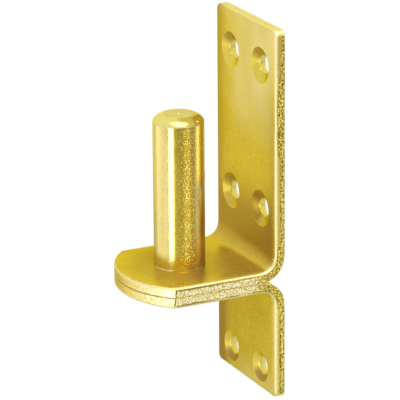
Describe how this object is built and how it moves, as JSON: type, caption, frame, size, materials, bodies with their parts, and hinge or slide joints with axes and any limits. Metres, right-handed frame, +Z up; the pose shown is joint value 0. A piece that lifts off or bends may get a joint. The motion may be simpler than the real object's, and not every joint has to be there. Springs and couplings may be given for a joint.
{
  "type": "hinge pintle",
  "caption": "Plate-mounted hinge pintle: an upright turned pin riveted through the stacked tongues of an upper and a lower bent steel angle, both drilled and countersunk for screws.",
  "frame": {"origin": "on the pin's axis, in the tongue's top face that the turning eye rests on", "axes": "+Z up along the pin, +Y into the post that the plate is screwed to, +X across the strip"},
  "size_m": [0.04, 0.0463, 0.119],
  "materials": {
    "plated_strip": "yellow passivated zinc plating, satin",
    "plated_pin": "yellow passivated zinc plating over a turned surface"
  },
  "bodies": {
    "root": {"upper_angle": "plated_strip", "lower_angle": "plated_strip", "pintle_pin": "plated_pin"}
  },
  "joints": []
}
